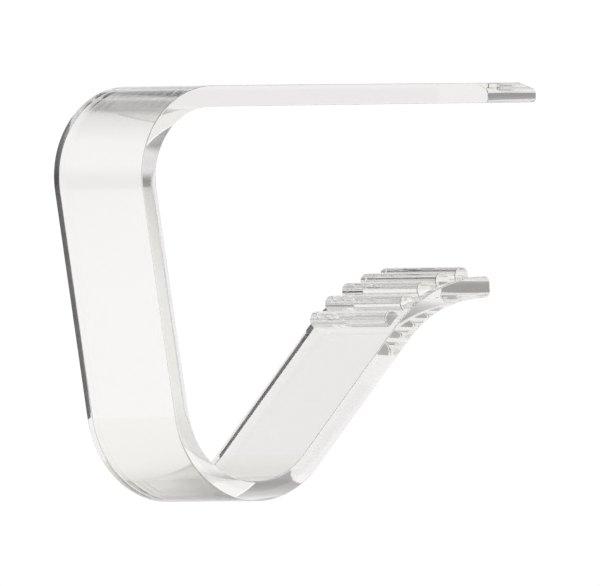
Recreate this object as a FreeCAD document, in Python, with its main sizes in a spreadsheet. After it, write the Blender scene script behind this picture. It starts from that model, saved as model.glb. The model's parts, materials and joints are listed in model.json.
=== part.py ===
"""Spring clip for a table edge: one clear plastic moulding, built here as the zones that do its work.

The clip is a flat strip bent into a hook. The top arm lies on the table, the bends and the thin
back strap are the spring, and the lower arm presses its grip ribs against the table's underside.
Millimetres, +Z up, +X from the back strap to the open end, origin at the middle of the seat,
which is the flat underside of the top arm.
"""

import FreeCAD, Part
import os
from math import cos, radians, sin

import Sketcher

V = FreeCAD.Vector

SIZES = {
    # the strip
    "clip_width": 20.0,
    "arm_thickness": 2.75,
    "strap_thickness": 2.25,
    # top arm
    "seat_length": 46.0,
    "arm_tip_thickness": 2.6,
    "nose_length": 5.1,
    "nose_end_height": 1.7,
    "nose_slope_length": 2.6,
    "nose_rounding": 0.5,
    # bends, each radius that of the outside face, and how the strap and the lower arm lie
    "upper_bend_radius": 11.7,
    "lower_bend_radius": 13.0,
    "strap_lean": 9.0,
    "lower_arm_rise": 48.0,
    # back strap
    "strap_length": 30.0,
    "flex_length": 10.0,
    # lower arm and its levelled end
    "lower_arm_length": 21.8,
    "pad_bend_radius": 16.8,
    "lip_length": 1.6,
    "lip_rounding": 0.7,
    # grip ribs, and the bare stretches of the pad before the first and after the last
    "rib_radius": 1.08,
    "rib_lift": 0.42,
    "rib_side_inset": 1.4,
    "rib_pitch": 3.1,
    "pad_start_gap": 0.12,
    "pad_end_gap": 0.675,
}
RIB_COUNT = 5

# the grip pad carries the ribs on its outer curve, so the ribs' places set how far it bends
PAD_TOP = "Sizes.pad_bend_radius + Sizes.arm_thickness"
FIRST_RIB = "Sizes.pad_start_gap + Sizes.rib_radius"
LAST_REACH = f"{RIB_COUNT - 1} * Sizes.rib_pitch + Sizes.rib_radius + Sizes.pad_end_gap"
PAD_TURN = f"({FIRST_RIB} + {LAST_REACH}) / ({PAD_TOP}) * 180 / pi"

doc = FreeCAD.newDocument("table_clip")
sheet = doc.addObject("Spreadsheet::Sheet", "Sizes")
parts = {}


def fill_sheet():
    """One row per driving size: its name, then its value under that alias."""
    for row, (name, value) in enumerate(SIZES.items(), start=1):
        sheet.set(f"A{row}", name)
        sheet.set(f"B{row}", str(value))
        sheet.setAlias(f"B{row}", name)
    doc.recompute()


def size(name):
    return float(sheet.get(name))


# --- frames along the strip -------------------------------------------------------------
# Each zone is drawn in its own frame: X along the strip, Z towards the inside of the clip,
# Y across it, and the origin on the outside face where the zone starts.


def moved(x="0", z="0", turn="0"):
    """A placement as an expression: x along, z inwards, then turned about Y, all in one frame."""
    return f"placement(vector({x}; 0; {z}); rotation(vector(0; 1; 0); {turn}))"


def after_bend(start, radius, turn):
    """The frame at the far end of a bend towards the inside, whose outside face has this radius."""
    return f"{start} * {moved(z=radius, turn=f'-({turn})')} * {moved(z=f'-{radius}')}"


def placement_of(body):
    return f"{body.Name}.Placement"


# --- sketch and body helpers ------------------------------------------------------------


def new_body(label, placement):
    body = doc.addObject("PartDesign::Body", label)
    body.Label = label
    body.setExpression("Placement", placement)
    parts[label] = body
    return body


def new_sketch(body, plane_role, name):
    """A sketch flat on one of the body's own origin planes."""
    plane = next(f for f in body.Origin.OriginFeatures if f.Role == plane_role)
    sketch = body.newObject("Sketcher::SketchObject", name)
    sketch.AttachmentSupport = (plane, [""])
    sketch.MapMode = "FlatFace"
    return sketch


def draw_outline(sketch, points, arcs=None):
    """A closed outline through the points. arcs gives, for the edge that starts at a point,
    its centre and whether it runs clockwise. Returns the edges' indices."""
    arcs = arcs or {}
    edges = []
    for i, start in enumerate(points):
        end = points[(i + 1) % len(points)]
        if i in arcs:
            centre, clockwise = arcs[i]
            edges.append(sketch.addGeometry(arc_between(start, end, centre, clockwise)))
        else:
            edges.append(sketch.addGeometry(Part.LineSegment(V(*start, 0), V(*end, 0))))
    for i, edge in enumerate(edges):
        following = (i + 1) % len(edges)
        leaves = 1 if is_clockwise(arcs, i) else 2
        meets = 2 if is_clockwise(arcs, following) else 1
        sketch.addConstraint(
            Sketcher.Constraint("Coincident", edge, leaves, edges[following], meets)
        )
    return edges


def is_clockwise(arcs, i):
    return i in arcs and arcs[i][1]


def arc_between(start, end, centre, clockwise):
    """An arc of a sketch always runs anticlockwise, so a clockwise one is drawn backwards."""
    first, last = (end, start) if clockwise else (start, end)
    middle_of = V(*centre, 0)
    radius = (V(*first, 0) - middle_of).Length
    from_angle = (V(*first, 0) - middle_of).getAngle(V(1, 0, 0))
    to_angle = (V(*last, 0) - middle_of).getAngle(V(1, 0, 0))
    if first[1] < centre[1]:
        from_angle = -from_angle
    if last[1] < centre[1]:
        to_angle = -to_angle
    circle = Part.Circle(middle_of, V(0, 0, 1), radius)
    return Part.ArcOfCircle(circle, from_angle, to_angle)


def constrain(sketch, kind, *where, value=None, name=None, to=None):
    """Adds one constraint. to is the expression that drives it."""
    args = where if value is None else (*where, value)
    index = sketch.addConstraint(Sketcher.Constraint(kind, *args))
    if to is not None:
        sketch.renameConstraint(index, name)
        sketch.setExpression(f"Constraints.{name}", to)
    return index


def pad(body, sketch, width, name):
    """The outline as thick as width, half of it on each side of the clip's middle plane."""
    feature = body.newObject("PartDesign::Pad", name)
    feature.Profile = sketch
    feature.SideType = "Symmetric"
    feature.setExpression("Length", width)
    return feature


def round_edges(body, edges_of, radius, name):
    """A fillet on the edges that edges_of picks from the solid so far."""
    doc.recompute()
    solid = body.Tip
    picked = [f"Edge{i}" for i, e in enumerate(solid.Shape.Edges, start=1) if edges_of(e)]
    feature = body.newObject("PartDesign::Fillet", name)
    feature.Base = (solid, picked)
    feature.setExpression("Radius", radius)
    return feature


def across_at(x_least):
    """Picks the edges that run right across the strip beyond x_least."""

    def picks(edge):
        across = abs(edge.BoundBox.YLength - size("clip_width")) < 0.001
        return across and edge.BoundBox.XMin > x_least

    return picks


# --- zones ------------------------------------------------------------------------------


def straight_zone(label, placement, length, thickness):
    """A flat stretch of the strip. length and thickness are expressions."""
    body = new_body(label, placement)
    sketch = new_sketch(body, "XZ_Plane", f"{label}_side")
    long, thick = 10.0, 2.0
    base, end, back, start = draw_outline(
        sketch, [(0, 0), (long, 0), (long, thick), (0, thick)]
    )
    constrain(sketch, "Coincident", base, 1, -1, 1)
    constrain(sketch, "Horizontal", base)
    constrain(sketch, "Horizontal", back)
    constrain(sketch, "Vertical", end)
    constrain(sketch, "Vertical", start)
    constrain(sketch, "DistanceX", base, 1, base, 2, value=long, name="along", to=length)
    constrain(sketch, "DistanceY", end, 1, end, 2, value=thick, name="thick", to=thickness)
    pad(body, sketch, "Sizes.clip_width", f"{label}_pad")
    return body


def top_arm():
    """The arm that lies on the table: flat below, and thinning a little towards its tip."""
    body = new_body("top_arm", moved())
    sketch = new_sketch(body, "XZ_Plane", "top_arm_side")
    half, root, tip = size("seat_length") / 2, size("arm_thickness"), size("arm_tip_thickness")
    seat, tip_end, top, root_end = draw_outline(
        sketch, [(-half, 0), (half, 0), (half, tip), (-half, root)]
    )
    constrain(sketch, "Symmetric", seat, 1, seat, 2, -1, 1)
    constrain(sketch, "Horizontal", seat)
    constrain(sketch, "Vertical", tip_end)
    constrain(sketch, "Vertical", root_end)
    constrain(
        sketch, "DistanceX", seat, 1, seat, 2, value=2 * half, name="seat", to="Sizes.seat_length"
    )
    constrain(
        sketch, "DistanceY", tip_end, 1, tip_end, 2,
        value=tip, name="tip", to="Sizes.arm_tip_thickness",
    )
    constrain(
        sketch, "DistanceY", root_end, 2, root_end, 1,
        value=root, name="root", to="Sizes.arm_thickness",
    )
    pad(body, sketch, "Sizes.clip_width", "top_arm_pad")
    return body


def top_arm_nose():
    """The top arm's end, sloped on top and rounded, so that the cloth slides under it."""
    body = new_body("top_arm_nose", moved(x="Sizes.seat_length / 2"))
    sketch = new_sketch(body, "XZ_Plane", "nose_side")
    long, high = size("nose_length"), size("arm_tip_thickness")
    slope, low = size("nose_slope_length"), size("nose_end_height")
    under, end, ramp, top, root = draw_outline(
        sketch, [(0, 0), (long, 0), (long, low), (long - slope, high), (0, high)]
    )
    constrain(sketch, "Coincident", under, 1, -1, 1)
    constrain(sketch, "Horizontal", under)
    constrain(sketch, "Horizontal", top)
    constrain(sketch, "Vertical", end)
    constrain(sketch, "Vertical", root)
    constrain(
        sketch, "DistanceX", under, 1, under, 2, value=long, name="along", to="Sizes.nose_length"
    )
    constrain(
        sketch, "DistanceY", end, 1, end, 2, value=low, name="end_high", to="Sizes.nose_end_height"
    )
    constrain(
        sketch, "DistanceX", ramp, 2, ramp, 1,
        value=slope, name="slope", to="Sizes.nose_slope_length",
    )
    constrain(
        sketch, "DistanceY", root, 2, root, 1,
        value=high, name="high", to="Sizes.arm_tip_thickness",
    )
    pad(body, sketch, "Sizes.clip_width", "nose_pad")
    rounded = across_at(long - slope / 2)
    round_edges(body, rounded, "Sizes.nose_rounding", "nose_rounded")
    return body


def spring_bend(label, placement, radius, turn, first, last):
    """A bend that joins two flat stretches, usually of unlike thickness.

    Its outside face is one arc, tangent to both. Its inside face is one arc as well, tangent to
    the thinner stretch, so the wall grows evenly round the bend towards the thicker one. turn is
    an expression for the angle, and the other sizes are names in the sheet.
    """
    body = new_body(label, placement)
    sketch = new_sketch(body, "XZ_Plane", f"{label}_side")
    r, angle = size(radius), radians(body.evalExpression(turn))
    first_wall, last_wall = size(first), size(last)
    axis = (0.0, r)

    def at(distance, turned):
        return (distance * sin(turned), r - distance * cos(turned))

    ends = [at(r, 0), at(r, angle), at(r - last_wall, angle), at(r - first_wall, 0)]
    thin_first = first_wall < last_wall
    thin, thick = r - min(first_wall, last_wall), r - max(first_wall, last_wall)
    shift = (thin**2 - thick**2) / (2 * (thin - thick * cos(angle)))
    inside_axis = at(shift, 0 if thin_first else angle)
    outer, last_end, inner, first_end = draw_outline(
        sketch, ends, {0: (axis, False), 2: (inside_axis, True)}
    )
    constrain(sketch, "Coincident", outer, 1, -1, 1)
    constrain(sketch, "PointOnObject", outer, 3, -2)
    constrain(sketch, "PointOnObject", first_end, 1, -2)
    constrain(sketch, "PointOnObject", outer, 3, last_end)
    constrain(sketch, "PointOnObject", inner, 3, first_end if thin_first else last_end)
    constrain(sketch, "Radius", outer, value=r, name="outside", to=f"Sizes.{radius}")
    constrain(sketch, "Angle", outer, value=angle, name="turned", to=f"({turn}) * 1 deg")
    constrain(sketch, "Distance", last_end, value=last_wall, name="last", to=f"Sizes.{last}")
    constrain(sketch, "Distance", first_end, value=first_wall, name="first", to=f"Sizes.{first}")
    pad(body, sketch, "Sizes.clip_width", f"{label}_pad")
    return body


def grip_pad(placement):
    """The lower arm's end, bent back until it lies nearly level. Drawn about its own axis."""
    body = new_body("grip_pad", placement)
    sketch = new_sketch(body, "YZ_Plane", "grip_pad_section")
    half, low = size("clip_width") / 2, size("pad_bend_radius")
    high = low + size("arm_thickness")
    under, right, top, left = draw_outline(
        sketch, [(-half, low), (half, low), (half, high), (-half, high)]
    )
    constrain(sketch, "Symmetric", under, 1, under, 2, -2)
    constrain(sketch, "Horizontal", top)
    constrain(sketch, "Vertical", left)
    constrain(sketch, "Vertical", right)
    constrain(
        sketch, "DistanceX", under, 1, under, 2, value=2 * half, name="wide", to="Sizes.clip_width"
    )
    constrain(
        sketch, "DistanceY", -1, 1, under, 1, value=low, name="under", to="Sizes.pad_bend_radius"
    )
    constrain(
        sketch, "DistanceY", right, 1, right, 2,
        value=high - low, name="thick", to="Sizes.arm_thickness",
    )
    turned = body.newObject("PartDesign::Revolution", "grip_pad_bend")
    turned.Profile = sketch
    turned.ReferenceAxis = (sketch, ["H_Axis"])
    turned.setExpression("Angle", PAD_TURN)
    return body


def lower_lip(placement):
    """The blunt rounded end of the lower arm."""
    body = straight_zone("lower_lip", placement, "Sizes.lip_length", "Sizes.arm_thickness")
    round_edges(body, across_at(size("lip_length") / 2), "Sizes.lip_rounding", "lip_rounded")
    return body


def grip_rib(number, pad_axis):
    """A round-topped rib across the grip pad. Its underside is as hollow as the pad is round."""
    turn = f"({FIRST_RIB} + {number - 1} * Sizes.rib_pitch) / ({PAD_TOP}) * 180 / pi"
    body = new_body(f"grip_rib_{number}", f"{pad_axis} * {moved(turn=turn)}")
    sketch = new_sketch(body, "XZ_Plane", f"rib_{number}_side")
    top, bead = size("pad_bend_radius") + size("arm_thickness"), size("rib_radius")
    shoulder, root = top + size("rib_lift"), (top**2 - bead**2) ** 0.5
    right, crown, left, foot = draw_outline(
        sketch,
        [(bead, root), (bead, shoulder), (-bead, shoulder), (-bead, root)],
        {1: ((0.0, shoulder), False), 3: ((0.0, 0.0), True)},
    )
    constrain(sketch, "Coincident", foot, 3, -1, 1)
    constrain(sketch, "PointOnObject", crown, 3, -2)
    constrain(sketch, "Vertical", right)
    constrain(sketch, "Vertical", left)
    constrain(sketch, "Horizontal", crown, 1, crown, 3)
    constrain(sketch, "Horizontal", crown, 2, crown, 3)
    constrain(sketch, "Radius", foot, value=top, name="pad_top", to=PAD_TOP)
    constrain(sketch, "Radius", crown, value=bead, name="bead", to="Sizes.rib_radius")
    constrain(
        sketch, "DistanceY", -1, 1, crown, 3,
        value=shoulder, name="shoulder", to=f"{PAD_TOP} + Sizes.rib_lift",
    )
    pad(body, sketch, "Sizes.clip_width - 2 * Sizes.rib_side_inset", f"rib_{number}_pad")
    return body


# --- the clip ---------------------------------------------------------------------------


def build_clip():
    upper_turn = "90 + Sizes.strap_lean"
    lower_turn = "90 - Sizes.strap_lean + Sizes.lower_arm_rise"
    stiff_strap = "(Sizes.strap_length - Sizes.flex_length) / 2"
    strap_wall = "Sizes.strap_thickness"

    top_arm()
    top_arm_nose()
    root = moved(x="-Sizes.seat_length / 2", z="Sizes.arm_thickness", turn="180")
    bend = spring_bend(
        "upper_bend", root, "upper_bend_radius", upper_turn, "arm_thickness", "strap_thickness"
    )
    frame = after_bend(placement_of(bend), "Sizes.upper_bend_radius", upper_turn)
    for label, length in (
        ("strap_upper", stiff_strap),
        ("strap_flex", "Sizes.flex_length"),
        ("strap_lower", stiff_strap),
    ):
        zone = straight_zone(label, frame, length, strap_wall)
        frame = f"{placement_of(zone)} * {moved(x=length)}"
    bend = spring_bend(
        "lower_bend", frame, "lower_bend_radius", lower_turn, "strap_thickness", "arm_thickness"
    )
    frame = after_bend(placement_of(bend), "Sizes.lower_bend_radius", lower_turn)
    arm = straight_zone("lower_arm", frame, "Sizes.lower_arm_length", "Sizes.arm_thickness")
    frame = f"{placement_of(arm)} * {moved(x='Sizes.lower_arm_length', z='-Sizes.pad_bend_radius')}"
    grip = grip_pad(frame)
    pad_axis = placement_of(grip)
    for number in range(1, RIB_COUNT + 1):
        grip_rib(number, pad_axis)
    lower_lip(f"{pad_axis} * {moved(turn=PAD_TURN)} * {moved(z='Sizes.pad_bend_radius')}")


def check_and_write():
    """Every object has to be sound before any file is written."""
    doc.recompute()
    for found in doc.Objects:
        if "Invalid" in found.State or "Error" in found.State:
            raise RuntimeError(f"{found.Label} didn't build: {found.State}")
        if found.TypeId == "Sketcher::SketchObject" and not found.FullyConstrained:
            raise RuntimeError(f"{found.Label} isn't fully constrained")
    for label, body in parts.items():
        shape = body.Shape
        if shape.isNull() or not shape.isValid() or len(shape.Solids) != 1:
            raise RuntimeError(f"{label} isn't one sound solid")
    os.makedirs("parts", exist_ok=True)
    for label, body in parts.items():
        body.Shape.exportStep(f"parts/{label}.step")
        box = body.Shape.BoundBox
        print(
            f"{label}: {body.Shape.Volume:.1f} mm3, x {box.XMin:.2f} to {box.XMax:.2f}, "
            f"z {box.ZMin:.2f} to {box.ZMax:.2f}"
        )


fill_sheet()
build_clip()
check_and_write()
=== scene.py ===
# %% [markdown]
# A clip that holds a cloth to the edge of a table. It is one strip of clear plastic, moulded in
# one shot: a flat arm that lies on the table, a bend, a thin back strap, a second bend, and a
# lower arm whose end is turned level and carries five small grip ribs. Nothing is joined, so the
# picture needs one unbroken clear body, because any wall inside clear plastic would show.

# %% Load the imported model
import json
from math import atan2, cos, pi, radians, sin

import bmesh
import bpy
from mathutils import Matrix, Vector


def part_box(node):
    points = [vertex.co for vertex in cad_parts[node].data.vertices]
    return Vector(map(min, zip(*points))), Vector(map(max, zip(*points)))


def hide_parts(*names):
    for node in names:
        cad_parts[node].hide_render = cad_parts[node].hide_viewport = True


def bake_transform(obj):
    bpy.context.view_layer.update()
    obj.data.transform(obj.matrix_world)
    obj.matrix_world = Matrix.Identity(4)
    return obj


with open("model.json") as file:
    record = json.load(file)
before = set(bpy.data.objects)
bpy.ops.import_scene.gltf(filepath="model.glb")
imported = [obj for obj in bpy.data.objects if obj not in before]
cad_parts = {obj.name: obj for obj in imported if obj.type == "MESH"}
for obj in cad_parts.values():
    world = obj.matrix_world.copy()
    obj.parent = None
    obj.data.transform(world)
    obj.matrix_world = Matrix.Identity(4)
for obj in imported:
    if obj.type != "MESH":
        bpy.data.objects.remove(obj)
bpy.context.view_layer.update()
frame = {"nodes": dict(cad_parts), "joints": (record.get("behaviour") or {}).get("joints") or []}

# %% [markdown]
# The strip's sizes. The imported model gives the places, and the few radii and angles that a box
# can't give are named here. All are metres, and the axes are the model's own: X runs to the open
# end, Y across the strip and Z up, from the middle of the flat underside of the top arm.

# %% Sizes read from the model, and the strip's own radii and angles
MM = 0.001

arm_low, arm_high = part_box("top_arm")
nose_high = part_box("top_arm_nose")[1]
half_width = arm_high.y
arm_wall = arm_high.z
tip_wall = nose_high.z
upper_radius = arm_low.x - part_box("upper_bend")[0].x

STRAP_WALL = 2.25 * MM
LOWER_RADIUS = 13 * MM
STRAP_LENGTH = 30 * MM
LOWER_ARM_LENGTH = 21.8 * MM
PAD_RADIUS = 16.8 * MM
LIP_LENGTH = 1.6 * MM
NOSE_SLOPE_LENGTH, NOSE_END_HEIGHT = 2.6 * MM, 1.7 * MM
STRAP_LEAN, LOWER_ARM_RISE = radians(9), radians(48)
RIB_COUNT, RIB_RADIUS, RIB_LIFT = 5, 1.08 * MM, 0.42 * MM
FIRST_RIB, RIB_PITCH, PAD_LENGTH = 1.2 * MM, 3.1 * MM, 15.355 * MM

upper_turn = pi / 2 + STRAP_LEAN
lower_turn = pi + LOWER_ARM_RISE
pad_top_radius = PAD_RADIUS + arm_wall
pad_turn = PAD_LENGTH / pad_top_radius
print("wall in mm:", round(arm_wall / MM, 2), "to", STRAP_WALL / MM)


def along(turned):
    """The way the strip runs, seen from the side, once it has turned this far from the arm."""
    return Vector((-cos(turned), 0, -sin(turned)))


def outward(turned):
    """The way its outside face looks there."""
    return Vector((-sin(turned), 0, cos(turned)))


# %% [markdown]
# The strip begins as one plane, the top of the arm, and the rest of the outside face is drawn
# from the plane's two end edges: spun round each bend's axis and extruded along each straight.
# It could also be an extruded side view, but a sheet that gets its wall later keeps clean rows
# of four-sided faces round the bends, and clear plastic shows every uneven face.

# %% Helpers: select in code, then use the edit-mode tools
def only(piece):
    """This piece alone is selected and active, in object mode."""
    if bpy.context.mode != "OBJECT":
        bpy.ops.object.mode_set(mode="OBJECT")
    bpy.ops.object.select_all(action="DESELECT")
    piece.select_set(True)
    bpy.context.view_layer.objects.active = piece


def take(piece, kind, test):
    """Selects the piece's vertices, edges or faces whose middle passes the test."""
    only(piece)
    mesh = piece.data
    for group in (mesh.vertices, mesh.edges, mesh.polygons):
        group.foreach_set("select", [False] * len(group))
    middle = {
        "VERT": lambda v: v.co,
        "EDGE": lambda e: sum((mesh.vertices[i].co for i in e.vertices), Vector()) / 2,
        "FACE": lambda f: f.center,
    }[kind]
    items = {"VERT": mesh.vertices, "EDGE": mesh.edges, "FACE": mesh.polygons}[kind]
    found = 0
    for item in items:
        item.select = bool(test(middle(item), item))
        found += item.select
    bpy.context.tool_settings.mesh_select_mode = [kind == k for k in ("VERT", "EDGE", "FACE")]
    bpy.ops.object.mode_set(mode="EDIT")
    return found


def near(place, reach=0.01 * MM):
    """A test for what lies at this place in the side view, whatever its Y."""
    return lambda middle, item: Vector((middle.x - place.x, middle.z - place.z)).length < reach


# %% [markdown]
# The top arm lies on the cloth. Its underside is flat, and its top falls a little towards the tip,
# as a moulded arm's does so that it leaves the mould and bends evenly. The nose could be a block
# of its own, but that would put a wall inside the plastic, so it is two more steps of the sheet.

# %% Draw the arm's top, thinned towards its tip, and the nose
bpy.ops.object.select_all(action="DESELECT")
arm_long = arm_high.x - arm_low.x
bpy.ops.mesh.primitive_plane_add(size=1, location=((arm_low.x + arm_high.x) / 2, 0, arm_wall))
clip = bpy.context.object
clip.name = clip.data.name = "clear_clip"
clip.scale = (arm_long, 2 * half_width, 1)
bpy.ops.object.transform_apply(location=True, rotation=True, scale=True)

take(clip, "EDGE", near(Vector((arm_high.x, 0, arm_wall))))
bpy.ops.transform.translate(value=(0, 0, tip_wall - arm_wall))
slope_start = nose_high.x - NOSE_SLOPE_LENGTH
for reach in (slope_start - arm_high.x, NOSE_SLOPE_LENGTH):
    bpy.ops.mesh.extrude_region_move(TRANSFORM_OT_translate={"value": (reach, 0, 0)})
only(clip)
print("arm and nose in mm:", [round(v / MM, 2) for v in (arm_long, nose_high.x - arm_high.x)])

# %% [markdown]
# From here the sheet goes on from its last edge. Spin turns that edge round an axis, which makes a
# bend with a true radius, and an extrusion makes a straight. A curve with a bevel could follow the
# same path, but its wall would be round, not flat with square sides. The strap is cut into short
# rungs, because it bends at the joint and each rung can then turn a little.

# %% Helpers: carry the strip on from its last edge
def spin_on(piece, end, axis_at, turn, steps):
    """Spins the edge at end round an axis across the strip. A positive turn curls it under."""
    assert take(piece, "EDGE", near(end)) == 1, "one edge ends the strip"
    bpy.ops.mesh.spin(steps=steps, angle=turn, center=axis_at, axis=(0, 1, 0))


def run_on(piece, end, way, length, rungs):
    """Extrudes the edge at end straight on, then cuts the new face into even rungs."""
    assert take(piece, "EDGE", near(end)) == 1, "one edge ends the strip"
    bpy.ops.mesh.extrude_region_move(TRANSFORM_OT_translate={"value": way * length})
    if rungs > 1:
        middle = end + way * length / 2
        count = take(piece, "EDGE", lambda m, e: near(middle)(m, e) and abs(m.y) > half_width / 2)
        assert count == 2, "two long edges are cut"
        bpy.ops.mesh.subdivide(number_cuts=rungs - 1)


# %% Upper bend, strap, lower bend, lower arm, pad and lip
UPPER_STEPS, STRAP_RUNGS, LOWER_STEPS, PAD_STEPS = 56, 40, 72, 30

at = Vector((arm_low.x, 0, arm_wall))
turned = 0.0
upper_axis = at - outward(turned) * upper_radius
spin_on(clip, at, upper_axis, upper_turn, UPPER_STEPS)
turned += upper_turn
at = upper_axis + outward(turned) * upper_radius

run_on(clip, at, along(turned), STRAP_LENGTH, STRAP_RUNGS)
at = at + along(turned) * STRAP_LENGTH

lower_axis = at - outward(turned) * LOWER_RADIUS
spin_on(clip, at, lower_axis, lower_turn - turned, LOWER_STEPS)
turned = lower_turn
at = lower_axis + outward(turned) * LOWER_RADIUS

run_on(clip, at, along(turned), LOWER_ARM_LENGTH, 1)
at = at + along(turned) * LOWER_ARM_LENGTH

pad_axis = at + outward(turned) * PAD_RADIUS
spin_on(clip, at, pad_axis, -pad_turn, PAD_STEPS)
turned -= pad_turn
at = pad_axis - outward(turned) * PAD_RADIUS

run_on(clip, at, along(turned), LIP_LENGTH, 1)
strip_end = at + along(turned) * LIP_LENGTH
only(clip)
print("the outside face ends at", [round(v / MM, 2) for v in strip_end], "mm")
print("faces:", len(clip.data.polygons))

# %% [markdown]
# The wall. A moulded spring strip is thickest where it is stiff and thinnest where it flexes, so
# this one goes from 2.75 mm in the arms to 2.25 mm in the strap. Solidify can take its thickness
# from a vertex group, which lets the wall change evenly round each bend, as the real one does.

# %% Weigh each place on the sheet by its wall
strap_start = upper_axis + outward(upper_turn) * upper_radius
strap_end = strap_start + along(upper_turn) * STRAP_LENGTH


def turned_at(place, axis):
    """How far the strip has turned at a place on the outside of a bend."""
    return atan2(axis.x - place.x, place.z - axis.z) % (2 * pi)


def wall_at(place):
    """The wall's thickness under a place on the outside face."""
    if place.z > upper_axis.z and place.x > arm_low.x - 1e-6:
        reached = min(1, (place.x - arm_low.x) / arm_long)
        return arm_wall + (tip_wall - arm_wall) * reached
    if place.z > strap_start.z:
        return arm_wall + (STRAP_WALL - arm_wall) * turned_at(place, upper_axis) / upper_turn
    if place.z > strap_end.z and place.x < lower_axis.x:
        return STRAP_WALL
    if place.x < lower_axis.x + LOWER_RADIUS * sin(LOWER_ARM_RISE) and place.z < strap_end.z:
        rounded = (turned_at(place, lower_axis) - upper_turn) / (lower_turn - upper_turn)
        return STRAP_WALL + (arm_wall - STRAP_WALL) * rounded
    return arm_wall


wall_group = clip.vertex_groups.new(name="wall")
for vertex in clip.data.vertices:
    wall_group.add([vertex.index], wall_at(vertex.co) / arm_wall, "REPLACE")
print("wall half way down the strap in mm:", wall_at((strap_start + strap_end) / 2) / MM)

# %% [markdown]
# Solidify grows the wall inwards from the outside face, so the face's normals have to look out
# first. Doubled points left by the spins are merged before that, or the wall would split there.

# %% Give the sheet its wall
def finish_with(piece, kind, **settings):
    """Adds a modifier of this kind and applies it at once."""
    only(piece)
    modifier = piece.modifiers.new(kind.lower(), kind)
    for name, value in settings.items():
        setattr(modifier, name, value)
    bpy.ops.object.modifier_apply(modifier=modifier.name)
    print(f"{kind.lower()}: {len(piece.data.polygons)} faces")


def clean(piece, threshold):
    """Merges doubled points, then makes the normals agree."""
    take(piece, "FACE", lambda m, f: True)
    bpy.ops.mesh.remove_doubles(threshold=threshold)
    bpy.ops.mesh.normals_make_consistent(inside=False)
    only(piece)


clean(clip, 1e-6)
if max(clip.data.polygons, key=lambda f: f.center.z + f.area).normal.z < 0:
    take(clip, "FACE", lambda m, f: True)
    bpy.ops.mesh.flip_normals()
finish_with(
    clip, "SOLIDIFY", thickness=arm_wall, offset=-1, use_even_offset=True,
    vertex_group="wall", thickness_vertex_group=0,
)

# %% [markdown]
# The two ends. The nose slopes down on top so that the cloth slides under it, and both ends are
# rounded. The slope is made by hand, by pulling the end's top edge down, and a bevel with several
# segments rounds the edges that run across the strip.

# %% Slope the nose, then round both ends
NOSE_ROUNDING, LIP_ROUNDING = 0.5 * MM, 0.7 * MM

nose_top = Vector((nose_high.x, 0, tip_wall))
take(clip, "EDGE", near(nose_top))
bpy.ops.transform.translate(value=(0, 0, NOSE_END_HEIGHT - tip_wall))


def across(piece, places):
    """Selects the edges across the strip at these places in the side view."""
    tests = [near(place, 0.02 * MM) for place in places]
    return take(piece, "EDGE", lambda m, e: abs(m.y) < 1e-5 and any(t(m, e) for t in tests))


nose_edges = [Vector((nose_high.x, 0, 0)), Vector((nose_high.x, 0, NOSE_END_HEIGHT))]
print("nose edges:", across(clip, nose_edges))
bpy.ops.mesh.bevel(offset=NOSE_ROUNDING, segments=5, affect="EDGES", clamp_overlap=False)

lip_edges = [strip_end, strip_end - outward(turned) * arm_wall]
print("lip edges:", across(clip, lip_edges))
bpy.ops.mesh.bevel(offset=LIP_ROUNDING, segments=6, affect="EDGES", clamp_overlap=False)

# %% [markdown]
# A mould leaves no knife edges, and on clear plastic the small rounding along the strip is what
# draws its outline: it bends the light away, so each long edge shows as a thin dark line with a
# bright one beside it. The rounding is real geometry, 0.15 mm wide.

# %% Round the long edges
EDGE_ROUNDING = 0.15 * MM

finish_with(
    clip, "BEVEL", width=EDGE_ROUNDING, segments=2, limit_method="ANGLE",
    angle_limit=radians(50), use_clamp_overlap=True,
)

# %% [markdown]
# The grip ribs: five round-topped ridges across the pad, which press the cloth against the
# table's underside. Each starts as a rod. Its lower half is pulled down into the pad, which
# leaves a rounded top on straight flanks, as a cutter with a ball end leaves in a mould. One is
# modelled, the rest are copies set round the pad's curve, and a boolean union makes them one
# body with the strip, so that no wall is left inside.

# %% Model one rib
RIB_END_ROUNDING = 0.2 * MM

rib_low, rib_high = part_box("grip_rib_1")
crown = pad_top_radius + RIB_LIFT
only(clip)
bpy.ops.object.select_all(action="DESELECT")
bpy.ops.mesh.primitive_cylinder_add(
    vertices=48, radius=RIB_RADIUS, depth=rib_high.y - rib_low.y,
    location=(0, 0, crown), rotation=(pi / 2, 0, 0),
)
rib = bpy.context.object
rib.name = rib.data.name = "rib"
bpy.ops.object.transform_apply(location=True, rotation=True, scale=True)
take(rib, "VERT", lambda m, v: m.z < crown - 1e-6)
bpy.ops.transform.translate(value=(0, 0, -RIB_LIFT))
take(rib, "EDGE", lambda m, e: abs(abs(m.y) - rib_high.y) < 1e-6)
bpy.ops.mesh.bevel(offset=RIB_END_ROUNDING, segments=3, affect="EDGES")
only(rib)
print("rib in mm:", [round(side / MM, 2) for side in rib.dimensions])

# %% [markdown]
# The ribs stand square to the pad's curve, so each copy is turned about the axis that the pad was
# spun round. An array along a curve could do it too, but five plain turns by the rib's pitch are
# easier to check against the model, and each crest is printed beside the modelled one.

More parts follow.
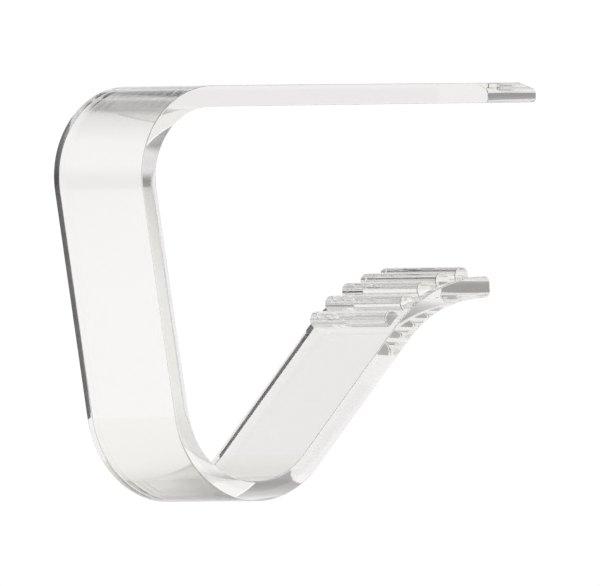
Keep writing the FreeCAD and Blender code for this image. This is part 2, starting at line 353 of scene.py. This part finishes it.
# %% Copy it round the pad
ribs = []
for number in range(1, RIB_COUNT + 1):
    turn = (FIRST_RIB + (number - 1) * RIB_PITCH) / pad_top_radius - LOWER_ARM_RISE
    only(rib)
    bpy.ops.object.duplicate()
    copy = bpy.context.object
    copy.rotation_euler = (0, turn, 0)
    copy.location = pad_axis
    bpy.ops.object.transform_apply(location=True, rotation=True, scale=True)
    crest = max(v.co.z for v in copy.data.vertices)
    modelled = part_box(f"grip_rib_{number}")[1].z
    print(f"rib {number}: crest {crest / MM:.2f} mm, in the model {modelled / MM:.2f} mm")
    ribs.append(copy)
bpy.data.objects.remove(rib)
only(ribs[0])
for copy in ribs:
    copy.select_set(True)
bpy.ops.object.join()
rods = bpy.context.object

# %% [markdown]
# On the real clip the ribs and the pad are one flow of plastic. An exact union removes the hidden
# halves of the rods. Then the shading is set: smooth round the bends and sharp at real corners,
# and weighted by face area, so that the big flat faces stay flat and don't bend what shows
# through them. The count of open edges has to be 0, or the plastic wouldn't be a closed body.

# %% Unite the ribs with the strip
finish_with(clip, "BOOLEAN", object=rods, operation="UNION", solver="EXACT")
bpy.data.objects.remove(rods)
clean(clip, 0.5e-6)
bpy.ops.object.shade_smooth_by_angle(angle=radians(40))
finish_with(clip, "WEIGHTED_NORMAL", mode="FACE_AREA", weight=90, keep_sharp=True)
check = bmesh.new()
check.from_mesh(clip.data)
print("open edges:", sum(1 for e in check.edges if len(e.link_faces) != 2),
      "volume mm3:", round(check.calc_volume() / MM**3, 1))
check.free()

# %% [markdown]
# The finish: clear moulded styrene. Its refractive index of 1.59 gives it brighter edges than
# glass, and a polished mould leaves it almost mirror smooth, with faint flow ripples about 9 mm
# long and a trace of haze in 3 mm patches. It could be plain glass with one roughness, but the
# small unevenness is what tells moulded plastic from glass.

# %% Clear injection-moulded styrene
def linear(code):
    """An sRGB hex colour as the linear RGBA that a socket takes."""
    parts = [int(code[i:i + 2], 16) / 255 for i in (1, 3, 5)]
    return (*(c / 12.92 if c <= 0.04045 else ((c + 0.055) / 1.055) ** 2.4 for c in parts), 1)


def add(tree, kind, links=None, **settings):
    """Adds a node, sets its properties and sockets, and links its inputs."""
    node = tree.nodes.new(kind)
    for name, value in settings.items():
        if hasattr(node, name):
            setattr(node, name, value)
        else:
            node.inputs[name.replace("_", " ")].default_value = value
    for name, source in (links or {}).items():
        tree.links.new(source, node.inputs[name])
    return node


def empty_tree(owner):
    """The emptied node tree of a new material or world."""
    owner.use_nodes = True
    owner.node_tree.nodes.clear()
    return owner.node_tree


FLOW_LENGTH, FLOW_DEPTH, HAZE_LENGTH = 9 * MM, 0.02 * MM, 3 * MM

plastic = bpy.data.materials.new("clear_moulded_styrene")
tree = empty_tree(plastic)
place = add(tree, "ShaderNodeTexCoord").outputs["Object"]
flow = add(tree, "ShaderNodeTexNoise", {"Vector": place}, Scale=1 / FLOW_LENGTH, Detail=2.0)
ripple = add(
    tree, "ShaderNodeBump", {"Height": flow.outputs["Fac"]}, Strength=0.05, Distance=FLOW_DEPTH
)
haze = add(tree, "ShaderNodeTexNoise", {"Vector": place}, Scale=1 / HAZE_LENGTH, Detail=3.0)
rough = add(
    tree, "ShaderNodeMapRange", {"Value": haze.outputs["Fac"]},
    **{"From Min": 0.3, "From Max": 0.7, "To Min": 0.015, "To Max": 0.05},
)
shader = add(
    tree, "ShaderNodeBsdfPrincipled",
    {"Roughness": rough.outputs["Result"], "Normal": ripple.outputs["Normal"]},
    **{"Base Color": linear("#F4F3F1"), "IOR": 1.59, "Transmission Weight": 1.0},
)
add(tree, "ShaderNodeOutputMaterial", {"Surface": shader.outputs["BSDF"]})
clip.data.materials.clear()
clip.data.materials.append(plastic)
print("finish:", plastic.name, "with", len(tree.nodes), "nodes")

# %% [markdown]
# The strap is the spring. When a table edge goes in, the lower jaw swings open about the strap's
# middle. The model's first joint gives the place of that fold. The clip's placement is baked into
# its mesh, and the imported parts are hidden.

joint = frame["joints"][0]
fold = Vector(joint["pos_m"])
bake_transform(clip)
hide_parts(*frame["nodes"])

# %% [markdown]
# The light. A clear part shows nothing but what stands round it, so the room is what draws it: a
# white backdrop behind, a pale ceiling and floor, and two dark flags, as a studio sets them
# up for glass. The black flag on the right draws the line down the strap's far edge, and the grey
# one on the left darkens the two tips. Directions are counted from the way the camera looks.

# %% Helpers: directions, smooth steps and sectors
VIEW_TURN = 35


def compass(degrees):
    """The level direction this far to the right of the way the camera looks."""
    return Vector((sin(radians(VIEW_TURN + degrees)), cos(radians(VIEW_TURN + degrees)), 0))


def between(tree, value, start, end):
    """0 up to start, rising smoothly to 1 at end."""
    return add(
        tree, "ShaderNodeMapRange", {"Value": value}, interpolation_type="SMOOTHSTEP",
        **{"From Min": start, "From Max": end, "To Min": 0.0, "To Max": 1.0},
    ).outputs["Result"]


def sector(tree, way, middle, inner, outer):
    """1 within inner degrees of a compass direction, falling smoothly to 0 at outer."""
    flat = add(tree, "ShaderNodeVectorMath", operation="MULTIPLY")
    tree.links.new(way, flat.inputs[0])
    flat.inputs[1].default_value = (1, 1, 0)
    level = add(
        tree, "ShaderNodeVectorMath", {"Vector": flat.outputs["Vector"]}, operation="NORMALIZE"
    )
    facing = add(tree, "ShaderNodeVectorMath", operation="DOT_PRODUCT")
    tree.links.new(level.outputs["Vector"], facing.inputs[0])
    facing.inputs[1].default_value = compass(middle)
    return between(tree, facing.outputs["Value"], cos(radians(outer)), cos(radians(inner)))


def mixed(tree, share, first, second):
    """A mix of two colours, each a socket or an RGBA."""
    node = add(tree, "ShaderNodeMix", {"Factor": share}, data_type="RGBA")
    for name, colour in (("A", first), ("B", second)):
        socket = next(i for i in node.inputs if i.name == name and i.type == "RGBA")
        if isinstance(colour, tuple):
            socket.default_value = colour
        else:
            tree.links.new(colour, socket)
    return next(o for o in node.outputs if o.type == "RGBA")


# %% [markdown]
# The floor is a light table, a sheet of opal acrylic with a matt face that also glows a little
# from below, which keeps the shadow under a clear part soft. A soft shadow is painted greyer right
# under the clip, and far off to the left painted shade of the grey flag darkens it. The lower bend
# swings down a few millimetres when the clip springs open, so the floor lies just under its lowest
# place then.

# %% Lay the floor
FULLY_OPEN, FLOOR_GAP, FLOOR_RADIUS = radians(20), 0.1 * MM, 1.5

open_axis = fold + Matrix.Rotation(FULLY_OPEN, 3, "Y") @ (lower_axis - fold)
floor_height = open_axis.z - LOWER_RADIUS - FLOOR_GAP
bpy.ops.object.select_all(action="DESELECT")
bpy.ops.mesh.primitive_circle_add(
    vertices=128, radius=FLOOR_RADIUS, fill_type="NGON", location=(0, 0, floor_height)
)
floor = bpy.context.object
floor.name = "floor"
print("floor at", round(floor_height / MM, 2), "mm")

# %% Opal light table, with painted shade under the clip and far to the left
FAR_PAINTED_FLAG_SHADE = (180 * MM, 420 * MM)
NEAR_PAINTED_SHADOW = (20 * MM, 90 * MM)
GREY_FLAG_AT, BLACK_FLAG_AT, BACKDROP_AT = -72, 112, -17

opal = bpy.data.materials.new("matt_opal_light_table")
tree = empty_tree(opal)
spot = add(tree, "ShaderNodeTexCoord").outputs["Object"]
reach = add(tree, "ShaderNodeVectorMath", {"Vector": spot}, operation="LENGTH").outputs["Value"]
# Painted shade: 180 to 420 mm out, towards the grey flag, the floor's colour is painted darker,
# down to #8E8D8C, as the flag's shade.
shade = add(tree, "ShaderNodeMath", operation="MULTIPLY")
tree.links.new(between(tree, reach, *FAR_PAINTED_FLAG_SHADE), shade.inputs[0])
tree.links.new(sector(tree, spot, GREY_FLAG_AT, 14, 26), shade.inputs[1])
# Painted shadow: within 20 to 90 mm of the middle the floor's colour is painted greyer, as a soft
# shadow under the clip.
tone = mixed(tree, between(tree, reach, *NEAR_PAINTED_SHADOW), linear("#D0CFCD"), linear("#D7D6D5"))
tone = mixed(tree, shade.outputs["Value"], tone, linear("#8E8D8C"))
sheet = add(
    tree, "ShaderNodeBsdfPrincipled", {"Base Color": tone, "Emission Color": tone}, Roughness=0.9
)
sheet.inputs["Specular IOR Level"].default_value = 0.0
sheet.inputs["Emission Strength"].default_value = 0.35
add(tree, "ShaderNodeOutputMaterial", {"Surface": sheet.outputs["BSDF"]})
floor.data.materials.append(opal)
print("floor finish:", opal.name)

# %% [markdown]
# The room itself is painted on the world, by height and by compass direction, and not built from
# lamps: a clear part mirrors a lamp's hard outline, and a smooth gradient gives it the soft greys
# of a big tent of white cloth. Each ramp goes from the horizon, 0, to straight up, 1, and the
# world's colour holds brightness, so a stop may be brighter than white.

# %% Set up the room
def ramp(tree, fac, stops):
    """A grey ramp through (place, brightness) stops."""
    node = add(tree, "ShaderNodeValToRGB", {"Fac": fac})
    points = node.color_ramp.elements
    while len(points) < len(stops):
        points.new(0.5)
    for point, (at_place, value) in zip(points, stops):
        point.position = at_place
        point.color = (value, value, value, 1)
    return node.outputs["Color"]


world = bpy.data.worlds.new("studio")
bpy.context.scene.world = world
sky = empty_tree(world)
way = add(sky, "ShaderNodeTexCoord").outputs["Generated"]
height = add(sky, "ShaderNodeSeparateXYZ", {"Vector": way}).outputs["Z"]

CEILING = [(0.6, 0.95), (0.92, 1.55)]
around = ramp(sky, height, [(0, 0.75), (0.35, 0.78), *CEILING])
grey_flag = ramp(sky, height, [(0, 0.36), (0.04, 0.45), (0.16, 0.9), (0.35, 0.85), *CEILING])
black_flag = ramp(sky, height, [(0, 0), (0.07, 0.03), (0.2, 0.4), (0.35, 0.65), *CEILING])
backdrop = ramp(sky, height, [(0.24, 1.02), (0.39, 0.66), (0.54, 0.42), (0.72, 0.85), (0.95, 1.55)])
room = mixed(sky, sector(sky, way, BLACK_FLAG_AT, 12, 20), around, black_flag)
room = mixed(sky, sector(sky, way, GREY_FLAG_AT, 10, 20), room, grey_flag)
room = mixed(sky, sector(sky, way, BACKDROP_AT, 30, 42), room, backdrop)
lamp = add(sky, "ShaderNodeBackground", {"Color": room}, Strength=1.0)
add(sky, "ShaderNodeOutputWorld", {"Surface": lamp.outputs["Background"]})
print("world nodes:", len(sky.nodes))

# %% [markdown]
# Light runs along a clear strip by bouncing inside it many times before it gets out at an end, as
# in a light guide. Four mirror bounces are too few for that, and the bends come out far too dark.
# The standard view keeps a white backdrop white, where a film-like one would grey it.

# %% Let the light bounce inside the plastic
cycles = bpy.context.scene.cycles
cycles.max_bounces, cycles.glossy_bounces, cycles.transmission_bounces = 32, 24, 24
bpy.context.scene.view_settings.view_transform = "Standard"
print("bounces:", cycles.max_bounces)

# %% [markdown]
# The camera looks level, across the strip and 35 degrees from straight on, from far enough away
# that the edges stay parallel, so it is orthographic.

# %% Camera
FRAME_WIDTH, FRAME_MIDDLE = 78 * MM, Vector((-1.9, 1.3, -24.4)) * MM
CAMERA_AWAY, CAMERA_ROLL = 0.5, radians(-0.75)

camera = bpy.data.objects.new("camera", bpy.data.cameras.new("camera"))
bpy.context.scene.collection.objects.link(camera)
bpy.context.scene.camera = camera
camera.data.type = "ORTHO"
camera.data.ortho_scale = FRAME_WIDTH
camera.location = FRAME_MIDDLE - compass(0) * CAMERA_AWAY
camera.rotation_mode = "QUATERNION"
roll = Matrix.Rotation(CAMERA_ROLL, 3, "Z").to_quaternion()
camera.rotation_quaternion = compass(0).to_track_quat("-Z", "Y") @ roll
print("camera at", [round(v / MM) for v in camera.location], "mm")
